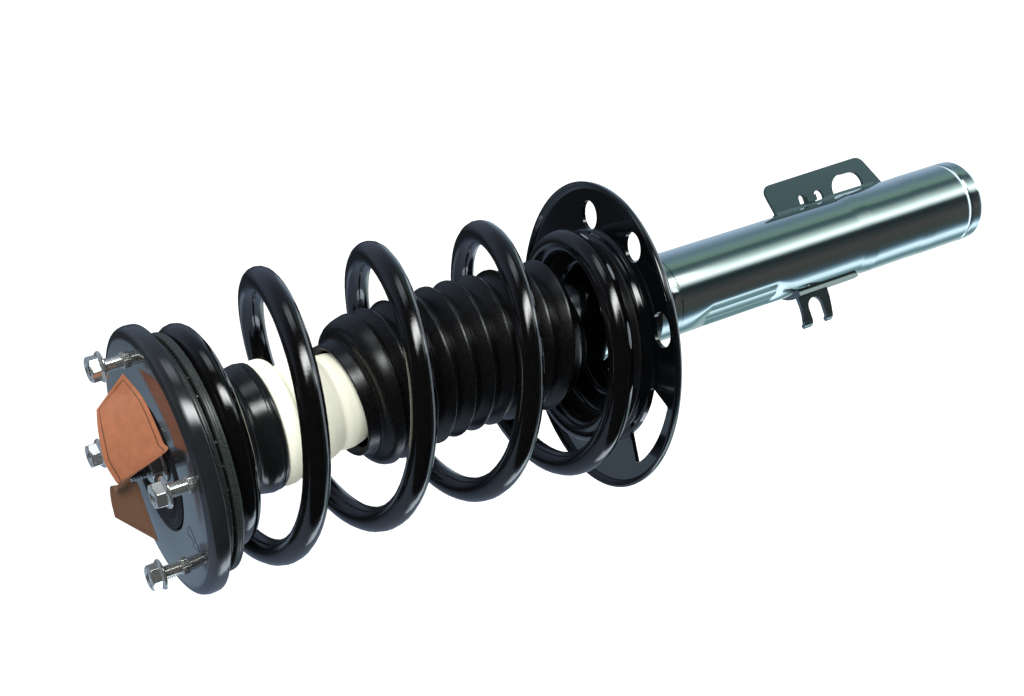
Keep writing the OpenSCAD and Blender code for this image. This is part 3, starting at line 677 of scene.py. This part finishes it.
# ---------------------------------------------------------------- road spring
# Side-load coil spring, cold wound from 15 mm wire and powder-coated gloss black. Its centre line bends, so
# that the lower coils lean with the seat, and both ends are drawn in to dead coils.
wire_r = 7.6
turn_start, turn_end, turn_rings = -1.65, 3.55, 64
spring_top, spring_run, spring_bend, spring_drift = 596.4, 260.0, 17.5, -5.9
spring_x, spring_y, spring_phase = 6.5, -0.5, 21.8
across = math.radians(seat_roll)
free_coil_r, dead_coil_r = 77.0, 58.0
foot_turn, foot_run, head_turn, head_run = -1.07, 0.46, 2.3, 0.95
closed_pitch, open_pitch, pitch_growth = 1, 64.1, 4.3
opening_turn, opening_run, closing_turn, closing_run = -1.15, 0.43, 3.1, 0.95


def eased(t):
    """0 to 1, flat at both ends."""
    t = min(max(t, 0.0), 1.0)
    return t * t * (3 - 2 * t)


def coil_radius(turn):
    """Radius of the coils at a count of turns, drawn in at both ends."""
    drawn_in = free_coil_r - dead_coil_r
    at_foot = drawn_in * (1 - eased((turn - foot_turn) / foot_run))
    return free_coil_r - at_foot - drawn_in * eased((turn - head_turn) / head_run)


def coil_pitch(turn):
    """Rise of a whole turn at a count of turns, next to nothing in the dead coils."""
    opening = min(max((turn - opening_turn) / opening_run, 0.0), 1.0)
    closing = min(max((closing_turn - turn) / closing_run, 0.0), 1.0)
    return closed_pitch + (open_pitch + pitch_growth * turn) * opening * closing


coil_points = []
count = math.ceil((turn_end - turn_start) * turn_rings)
turn_step = (turn_end - turn_start) / count
height = spring_top
for index in range(count + 1):
    turn = turn_start + index * turn_step
    around = math.radians(spring_phase + 360 * turn)
    radius, down = coil_radius(turn), (spring_top - height) / spring_run
    lean = math.atan(2 * spring_bend * down / spring_run)
    coil_points.append((
        spring_x - spring_bend * down * down + radius * math.cos(around) * math.cos(lean),
        spring_y + spring_drift * down + radius * math.sin(around),
        height - radius * math.cos(around) * math.sin(lean)
        + radius * math.sin(around) * math.sin(across * down),
    ))
    height -= turn_step * coil_pitch(turn + turn_step / 2)


def wire_along(name, points, radius, fineness, closed=False):
    """A round wire along points, closed in a loop or capped at both ends, in millimetres."""
    curve = bpy.data.curves.new(name, "CURVE")
    curve.dimensions = "3D"
    curve.bevel_depth = radius * MM
    curve.bevel_resolution = fineness
    curve.use_fill_caps = not closed
    spline = curve.splines.new("POLY")
    spline.points.add(len(points) - 1)
    spline.use_cyclic_u = closed
    for point, at in zip(spline.points, points):
        point.co = (*[part * MM for part in at], 1)
    piece_from(name, curve)
    bpy.ops.object.convert(target="MESH")
    return bpy.context.object


road_spring = wire_along("road_spring", coil_points, wire_r, 6)
open_mesh()
bpy.ops.mesh.remove_doubles(threshold=0.005 * MM)
close_mesh()
round_edges(road_spring, 0.9, 3, 50)
spring_coat = finish_material(
    "spring_coat", (0.0017, 0.0017, 0.0019), (0.0027, 0.0025, 0.0025), (0.09, 0.14), (2.4, 1.0, 2.0),
    bump=0.05, Coat_Weight=0.5, Coat_Roughness=0.05,
)
dressed(road_spring, spring_coat, "strut_body", "coil_spring")
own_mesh(road_spring)

# ---------------------------------------------------------------- dust boot
# Blow-moulded rubber bellows over the rod, bowed a little and leaning with the seat at its foot: a collar
# that grips the cap, ten folds that close up towards the top, and a square-edged mouth.
boot_foot, boot_mouth, boot_level = 357.0, 516.0, 492.0
fold_count, fold_top, fold_pitch, fold_opening = 10, 496.9, 13.1, 0.087
crest_r, valley_r, boot_wall, first_crest = 46.9, 41.0, 1.6, 493.0
boot_bow, boot_slope, mouth_slope = 4.8, 0.0016, 0.09
collar_high, mouth_high, bow_past_mouth = 14, 16, 10
boot_rubber = finish_material(
    "boot_rubber", (0.0022, 0.0023, 0.0026), (0.0034, 0.0035, 0.0038), (0.26, 0.33), (2.0, 1.0, 2.0),
    bump=0.003, specks=(2.4, 0.04, 0.08, (0.02, 0.02, 0.02)),
)


def crest_height(fold):
    """Height of a fold's crest, counted down from the mouth; halves are the valleys."""
    return first_crest if fold == 0 else fold_top - fold * fold_pitch - fold * fold * fold_opening


outside = [(32.0, 357.0), (32.4, 358.0), (32.6, 361.5), (33.6, 363.0), (37.0, 364.4), (39.6, 365.2)]
for fold in range(fold_count - 1, -1, -1):
    valley, crest, next_valley = (crest_height(fold + part) for part in (0.5, 0.0, -0.5))
    for at in (0.0, 0.16, 0.36, 0.60, 0.84, 0.94, 1.0, 1.06, 1.16, 1.40, 1.64, 1.84):
        if fold == 0 and at > 1.1:
            break
        rise = (1 - max(abs(at - 1), 0.06)) ** 0.80
        low, high, share = (valley, crest, at) if at < 1 else (crest, next_valley, at - 1)
        outside.append((valley_r + (crest_r - valley_r) * rise, low + (high - low) * share))
outside += [
    (46.4, 494.6), (45.9, 496.8), (45.1, 499.0), (43.9, 501.0), (42.2, 502.6), (40.0, 503.5), (38.0, 504.0),
    (36.4, 504.5), (35.6, 505.3), (35.3, 506.8), (35.1, 509.0), (34.9, 511.6), (34.8, 512.8), (34.4, 513.3),
]
inside = [(r - boot_wall, z) for r, z in outside[6:-1] if z < 504.2]
inside = [(29.2, 357.0), (29.2, 358.0), (29.3, 361.5), (31.6, 364.6), (35.0, 366.2), (38.0, 366.8), *inside]
inside += [
    (33.6, 505.4), (33.2, 507.0), (31.2, 508.0), (30.2, 508.8), (30.4, 509.6), (31.6, 511.0),
    (33.2, 512.6), (33.9, 513.2),
]
dust_boot = turned("dust_boot_bellows", outside + inside[::-1], steps=160, sharp=60)
for vertex in dust_boot.data.vertices:
    point = vertex.co / MM
    hold = eased((point.z - boot_foot) / collar_high)
    bow_length = boot_mouth + bow_past_mouth - boot_foot
    bow = boot_bow * math.sin(math.pi * min(1.0, (point.z - boot_foot) / bow_length))
    lean = boot_slope * (min(point.z, boot_level) - boot_level)
    lean += mouth_slope * eased((point.z - boot_level) / mouth_high)
    vertex.co.z += lean * hold * point.x * MM
    vertex.co.x += bow * hold * MM
dressed(dust_boot, boot_rubber, "strut_body", "dust_boot")
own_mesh(dust_boot)

# ---------------------------------------------------------------- bump stop
# Cream microcellular foam, moulded in lobes so that it stiffens as it is squeezed. It stands round the rod,
# pushed up into the neck of the upper seat.
stop_shift = 1.7
stop_foam = finish_material(
    "stop_foam", (0.95, 0.96, 0.80), (0.92, 0.93, 0.75), (0.55, 0.7), (0.9, 1.0, 4.0), bump=0.06,
    specks=(1.6, 0.12, 0.16, (0.62, 0.60, 0.44)),
)


def shifted(piece, from_r, shift):
    """Moves what lies outside a radius across by shift millimetres, as the seat sits off the rod's line."""
    for vertex in piece.data.vertices:
        if math.hypot(vertex.co.x, vertex.co.y) > from_r * MM:
            vertex.co.x += shift * MM


foam_stop = turned("foam_bump_stop", [
    (12, 497, 0.5), (23, 497, 2), (25.5, 502, 6), (27.4, 507, 7), (28.9, 513, 6), (29.0, 518, 5),
    (28.1, 521.8, 3), (30.2, 525.6, 5), (32.0, 531, 6), (32.2, 537, 5), (31, 542, 3), (28.6, 545.5, 1.2),
    (29.4, 548.6, 1), (33.0, 550, 4), (36.4, 551.2, 2), (37.5, 553.6, 2), (37.6, 558.0, 3),
    (37.0, 561.0, 1), (36.0, 561.4, 0.5), (34, 561.4), (34, 596), (12, 596)])
shifted(foam_stop, 20, stop_shift)
dressed(foam_stop, stop_foam, "upper_seat", "bump_stop")

# ---------------------------------------------------------------- upper spring seat and bearing
# Glass-filled plastic seat whose waisted neck holds the stop, a speckled insulator ring, loose balls and
# the cover.
neck_r, neck_top, neck_run = 30.0, 600.0, 16.0
seat_plastic = finish_material(
    "seat_plastic", (0.0060, 0.0066, 0.0072), (0.0080, 0.0086, 0.0092), (0.14, 0.20), (1.8, 1.0, 3.0),
    bump=0.02,
)
shield_plastic = finish_material(
    "shield_plastic", (0.016, 0.020, 0.020), (0.030, 0.037, 0.035), (0.22, 0.34), (0.7, 1.0, 4.0), bump=0.04,
    specks=(1.3, 0.22, 0.22, (0.10, 0.13, 0.12)),
)
ball_steel = finish_material(
    "ball_steel", (0.75, 0.75, 0.78), (0.66, 0.66, 0.70), (0.05, 0.09), (0.6, 1.0, 2.0), Metallic=1.0
)
upper_seat = turned("upper_seat_moulding", [
    (34.2, 562.0, 0.3), (36.9, 562.0, 0.4), (37.8, 562.7, 0.6), (38.1, 564.0, 0.5), (37.5, 564.9, 0.3),
    (38.3, 565.9, 0.5), (38.5, 567.6, 2), (37.9, 571.0, 8), (36.9, 575.5, 9), (37.6, 579.6, 5),
    (40.4, 582.2, 2.5), (41.0, 590, 4), (42.6, 602.4, 3), (46.0, 605.1), (66.0, 605.1, 0.3),
    (66.0, 608.6, 0.3), (42, 608.6), (40.5, 602), (38.4, 598.5), (14, 598.5), (14, 596.2),
    (34.2, 596.2)], steps=160, sharp=45)
for vertex in upper_seat.data.vertices:
    if vertex.co.z < neck_top * MM and math.hypot(vertex.co.x, vertex.co.y) > neck_r * MM:
        vertex.co.x += stop_shift * eased((neck_top - vertex.co.z / MM) / neck_run) * MM
dressed(upper_seat, seat_plastic, "upper_seat", "upper_spring_seat")
insulator_ring = turned("insulator_ring", [
    (48, 604.3, 0.2), (68.8, 604.3, 0.6), (69.6, 604.9, 0.4), (69.9, 606.0, 0.2), (69.4, 606.2, 0.1),
    (69.4, 606.4, 0.1), (69.9, 606.6, 0.2), (69.9, 607.4, 0.2), (69.5, 607.6, 0.1), (69.5, 607.8, 0.1),
    (69.8, 608.0, 0.2), (69.6, 608.8, 0.4), (68.9, 609.1, 0.3), (66.1, 609.1), (66.1, 605.0), (48, 605.0)],
    steps=200, sharp=40)
dressed(insulator_ring, shield_plastic, "upper_seat", "upper_insulator")
cover_ring = turned("bearing_cover_ring", [
    (44, 610.0), (67.2, 610.0, 0.4), (68.2, 610.5, 0.4), (68.5, 611.3, 0.3), (68.0, 611.6, 0.1),
    (68.0, 611.8, 0.1), (68.5, 612.0, 0.3), (68.4, 613.0, 0.4), (67.7, 613.6, 0.4), (63.5, 613.6),
    (63, 616), (44, 616)],
    steps=200, sharp=40)
dressed(cover_ring, shield_plastic, "top_mount", "bearing_cover")
coat("bearing_balls", ball_steel)

# ---------------------------------------------------------------- top mount
# Gloss black pressed plate closed by a pan, with a bonded rubber round a steel sleeve, a washer on top, and
# the outline of an arrow stamped in the plate.
plate_paint = finish_material(
    "plate_paint", (0.0100, 0.0115, 0.0130), (0.0120, 0.0140, 0.0155), (0.13, 0.18), (9.0, 1.0, 3.0),
    bump=0.015, specks=(2.6, 0.05, 0.10, (0.10, 0.11, 0.12)), Coat_Weight=0.5, Coat_Roughness=0.10,
)
mount_pressing = turned("mount_pressing", [
    (75.0, 616.0, 0.6), (77.6, 616.0, 0.9), (77.9, 618.4, 4), (78.0, 621.4, 5), (76.9, 625.2, 4.4),
    (72.0, 626.5, 6), (39.4, 626.5, 1.4), (37.8, 624.8, 1.4), (37.8, 620.0), (40.4, 620.0, 0.6),
    (40.8, 623.5, 1.2), (72.6, 623.5, 2.4), (75.0, 621.4, 2.4)], steps=240, sharp=50)
arrow_r, arrow_z = 0.22, 626.45
arrow_outline = [
    (-37.9, -24.9), (-38.1, -27.9), (-44.4, -30.6), (-46.3, -30.3), (-52.3, -32.3), (-48.9, -22.0),
    (-46.2, -27.3), (-41.7, -20.2)]
stamped_arrow = wire_along(
    "stamped_arrow", [(x, y, arrow_z) for x, y in arrow_outline], arrow_r, 2, closed=True
)
dressed(stamped_arrow, plate_paint, "top_mount")
dressed(mount_pressing, plate_paint, "top_mount", "mount_plate")
bonded_rubber = turned("bonded_rubber", [
    (13, 613, 0.5), (30, 613, 1), (43, 616.2, 1), (43, 619.3), (37.6, 619.7), (37.6, 626.4, 0.5),
    (36.9, 627.2, 0.4), (36.2, 626.0, 0.4), (35.4, 627.4, 0.4), (34.7, 626.2, 0.4), (34.0, 627.6, 0.4),
    (33.2, 626.4, 0.4), (32.3, 627.4, 0.5), (30.5, 625.0, 2), (27.0, 621.5, 3), (20.0, 619.0, 2),
    (13, 619)], steps=144, sharp=60)
dressed(bonded_rubber, seal_rubber, "top_mount", "mount_rubber")
coat("mount_pan", gloss_paint)
dressed(edge_rounded("rebound_washer", "top_washer", 0.4), gloss_paint, "top_mount", "rebound_washer")
coat("inner_sleeve", machined_steel)

# ---------------------------------------------------------------- rod, studs and nuts
# Chromed steel rod with a threaded tip and its nut, and four bright zinc-plated studs, pressed into the mount
# by their knurled collars, with a flange nut run on to each.
rod_chrome = finish_material(
    "rod_chrome", (0.72, 0.73, 0.75), (0.66, 0.67, 0.69), (0.06, 0.10), (0.5, 0.4, 2.0), Metallic=1.0
)
bright_zinc = finish_material(
    "bright_zinc", (0.82, 0.84, 0.81), (0.76, 0.78, 0.75), (0.13, 0.18), (1.4, 1.0, 2.0), bump=0.0005,
    Metallic=0.93,
)
stud_circle, stud_turns = 60.0, (-9.4, 74.6, 170.6, 254.6)
knurl_low, knurl_r, knurl_depth, knurls_per_turn = 623.6, 4.5, 0.92, 24


def screw_thread(name, crest_r, pitch, low, high):
    """A threaded length of the damper's axis, cut square at both ends, in millimetres."""
    root_r = crest_r - 0.58 * pitch
    tooth = [(root_r, 0.0), (root_r, 0.12), (crest_r, 0.42), (crest_r, 0.60), (root_r, 0.90), (root_r, 1.0)]
    thread = new_piece(
        name, [(r, 0, low - 2 * pitch + at * pitch) for r, at in tooth],
        [(i, i + 1) for i in range(len(tooth) - 1)],
    )
    winding = thread.modifiers.new("winding", "SCREW")
    winding.axis = "Z"
    winding.screw_offset = pitch * MM
    winding.iterations = math.ceil((high - low) / pitch) + 4
    winding.steps = winding.render_steps = 28
    bpy.ops.object.modifier_apply(modifier="winding")
    open_mesh()
    bpy.ops.mesh.remove_doubles(threshold=0.004 * MM)
    for height, below in ((low, True), (high, False)):
        bpy.ops.mesh.select_all(action="SELECT")
        bpy.ops.mesh.bisect(
            plane_co=(0, 0, height * MM), plane_no=(0, 0, 1), use_fill=True,
            clear_inner=below, clear_outer=not below,
        )
    close_mesh()
    for vertex in thread.data.vertices:
        reach = math.hypot(vertex.co.x, vertex.co.y)
        limit = (crest_r - max(0.0, vertex.co.z / MM - high + 0.9)) * MM
        if reach > limit:
            vertex.co.x *= limit / reach
            vertex.co.y *= limit / reach
    bpy.ops.object.shade_smooth_by_angle(angle=math.radians(30))
    return thread


def made_hexagonal(piece, across_corners, low, high):
    """Draws the vertices between two heights in to a hexagon."""
    for vertex in piece.data.vertices:
        reach = math.hypot(vertex.co.x, vertex.co.y)
        if not low * MM <= vertex.co.z <= high * MM:
            continue
        off = (math.atan2(vertex.co.y, vertex.co.x) + math.radians(30)) % math.radians(60) - math.radians(30)
        limit = across_corners / 2 * math.cos(math.radians(30)) / math.cos(math.radians(30) - abs(off)) * MM
        if reach > limit:
            vertex.co.x *= limit / reach
            vertex.co.y *= limit / reach


def joined(pieces):
    """One object from several, the first of which gives its name."""
    bpy.ops.object.select_all(action="DESELECT")
    for piece in pieces:
        piece.select_set(True)
    bpy.context.view_layer.objects.active = pieces[0]
    bpy.ops.object.join()
    return bpy.context.object


def at_studs(piece, spin=0.0):
    """Four copies of a piece on the axis, moved out to the studs, as one object."""
    placed = []
    for turn in stud_turns:
        twin = piece.copy()
        twin.data = piece.data.copy()
        bpy.context.scene.collection.objects.link(twin)
        twin.data.transform(
            Matrix.Rotation(math.radians(turn), 4, "Z") @ Matrix.Translation((stud_circle * MM, 0, 0))
            @ Matrix.Rotation(math.radians(spin), 4, "Z")
        )
        placed.append(twin)
    bpy.data.objects.remove(piece)
    return joined(placed)


rod_shaft = turned("rod_shaft", [
    (0, 300), (6, 300, 0.5), (6, 322), (11, 322, 0.4), (11, 380), (11, 500), (11, 608.8), (9.8, 610),
    (6, 610), (6, 623.6), (0, 623.6)], steps=72)
rod_tip = screw_thread("rod_tip", 6.0, 1.75, 623.4, 646.0)
dressed(joined([rod_shaft, rod_tip]), rod_chrome, "top_mount", "piston_rod")

rod_nut = turned("rod_flange_nut", [
    (6, 623, 0.5), (11.3, 623, 0.3), (11.5, 623.9, 0.5), (10.9, 624.8, 1), (10.4, 625.4), (10.4, 628),
    (10.4, 630.4), (9.6, 631.2), (8.8, 631.6), (6.8, 631.6), (6, 630.8)], steps=144, sharp=30)
made_hexagonal(rod_nut, 20.8, 625.2, 632)
dressed(rod_nut, bright_zinc, "top_mount", "rod_nut")

stud_thread = screw_thread("stud_thread", 4.0, 1.25, 627.6, 647.0)
stud_collar = turned("stud_collar", [
    (0, 620.5), (6.2, 620.5, 0.4), (6.4, 623.5), (4.6, 623.5), (4.9, 624.0), (4.9, 626.4), (4.9, 628.3),
    (4.3, 628.7), (0, 628.7)], steps=96, sharp=20)
for vertex in stud_collar.data.vertices:
    reach = math.hypot(vertex.co.x, vertex.co.y)
    groove = math.atan2(vertex.co.y, vertex.co.x) * (knurls_per_turn / 2) / math.pi % 1 < 0.5
    if vertex.co.z > knurl_low * MM and reach > knurl_r * MM and groove:
        vertex.co.x *= knurl_depth
        vertex.co.y *= knurl_depth
dressed(at_studs(joined([stud_thread, stud_collar])), bright_zinc, "top_mount", "studs")

flange_nut = turned("flange_nut", [
    (4.0, 639.5, 0.4), (8.7, 639.5, 0.3), (8.95, 640.1, 0.4), (8.6, 640.9, 0.6), (7.9, 641.5), (7.5, 642.0),
    (7.5, 644), (7.5, 646.4), (7.1, 647.0), (6.5, 647.4), (6.0, 647.5), (5.1, 647.5, 0.2), (4.0, 646.4)],
    steps=120, sharp=28)
made_hexagonal(flange_nut, 15.0, 641.6, 648)
dressed(at_studs(flange_nut, spin=15), bright_zinc, "top_mount", "flange_nuts")

# ---------------------------------------------------------------- hang tag
# Vinyl tag, narrow where it lies on the rod's tip and folded over it in two flaps, the upper one orange and
# the lower one painted a darker brown as painted shade, with a fine dark line printed inside the edge.
tag_rows = [
    ((37.5, -9, 649.5), (52, -14, 631)), ((29, -10.5, 652), (35.5, -30.5, 629)),
    ((20, -12, 653.8), (18, -39, 629)), ((9, -13, 655), (9, -41.5, 629)),
    ((-2, -14.5, 653), (4.3, -43, 629.2)), ((-4.5, -13.5, 652), (-2.5, -21, 645.5)),
    ((-8, -6, 652.5), (-6, -13, 644)), ((-4, 3, 652.8), (-7, -11, 641.5)),
    ((-12, 9, 653.5), (-20, -9.5, 641)), ((-21, 14, 653.2), (-40.5, -5, 639.4))]
tag_between, tag_columns, tag_thick = 5, 10, 0.4
# from here along the tag the colour turns to the lower flap's darker brown, which is painted shade
flap_shade_change = (0.50, 0.62)
flap_shade_brown, line_brown = (0.098, 0.047, 0.021), (0.07, 0.03, 0.014)


def through_points(points, at):
    """A smooth curve through points, at a place counted in points."""
    k = min(int(at), len(points) - 2)
    t = at - k
    before, a, b, after = (Vector(points[min(max(k + j, 0), len(points) - 1)]) for j in (-1, 0, 1, 2))
    return (2 * a + (b - before) * t + (2 * before - 5 * a + 4 * b - after) * t * t
            + (3 * (a - b) + after - before) * t ** 3) / 2


tag_rings = (len(tag_rows) - 1) * tag_between
tag_points, tag_faces = [], []
for i in range(tag_rings + 1):
    outer = through_points([row[0] for row in tag_rows], i / tag_between)
    inner = through_points([row[1] for row in tag_rows], i / tag_between)
    tag_points += [outer.lerp(inner, j / tag_columns) for j in range(tag_columns + 1)]
for i in range(tag_rings):
    for j in range(tag_columns):
        at = i * (tag_columns + 1) + j
        tag_faces.append((at, at + 1, at + tag_columns + 2, at + tag_columns + 1))
tag_sheet = new_piece("tag_sheet", tag_points, [], tag_faces)
tag_map = tag_sheet.data.uv_layers.new(name="tag_map")
for loop in tag_sheet.data.loops:
    i, j = divmod(loop.vertex_index, tag_columns + 1)
    tag_map.data[loop.index].uv = (i / tag_rings, j / tag_columns)
thickness = tag_sheet.modifiers.new("thickness", "SOLIDIFY")
thickness.thickness = tag_thick * MM
thickness.offset = 0
bpy.ops.object.modifier_apply(modifier="thickness")
bpy.ops.object.shade_smooth_by_angle(angle=math.radians(40))
tag_vinyl = finish_material(
    "tag_vinyl", (0.27, 0.100, 0.048), (0.225, 0.082, 0.038), (0.32, 0.45), (5.0, 1.0, 3.0), bump=0.01
)
n, l = tag_vinyl.node_tree.nodes, tag_vinyl.node_tree.links
shader = next(node for node in n if node.type == "BSDF_PRINCIPLED")
face_colour = shader.inputs["Base Color"].links[0].from_socket
place = n.new("ShaderNodeUVMap")
place.uv_map = "tag_map"
split = n.new("ShaderNodeSeparateXYZ")
l.new(place.outputs[0], split.inputs[0])
lines = []
for axis, low, wide in (("X", 0.022, 0.005), ("Y", 0.085, 0.018)):
    off = calculated(n, l, "PINGPONG", split.outputs[axis], 0.5)
    near = calculated(n, l, "COMPARE", off, low, wide / 2)
    inside = calculated(n, l, "GREATER_THAN", off, low - wide / 2)
    lines.append((near, inside))
# painted shade: the lower flap is mixed over to the darker brown
flaps_with_painted_shade = mixed(n, l, ranged(n, l, split.outputs["X"], flap_shade_change), face_colour, flap_shade_brown)
crossed = [calculated(n, l, "MULTIPLY", lines[own][0], lines[other][1]) for own, other in ((0, 1), (1, 0))]
border = calculated(n, l, "MAXIMUM", *crossed)
l.new(mixed(n, l, border, flaps_with_painted_shade, line_brown), shader.inputs["Base Color"])
dressed(tag_sheet, tag_vinyl, "top_mount", "tag")
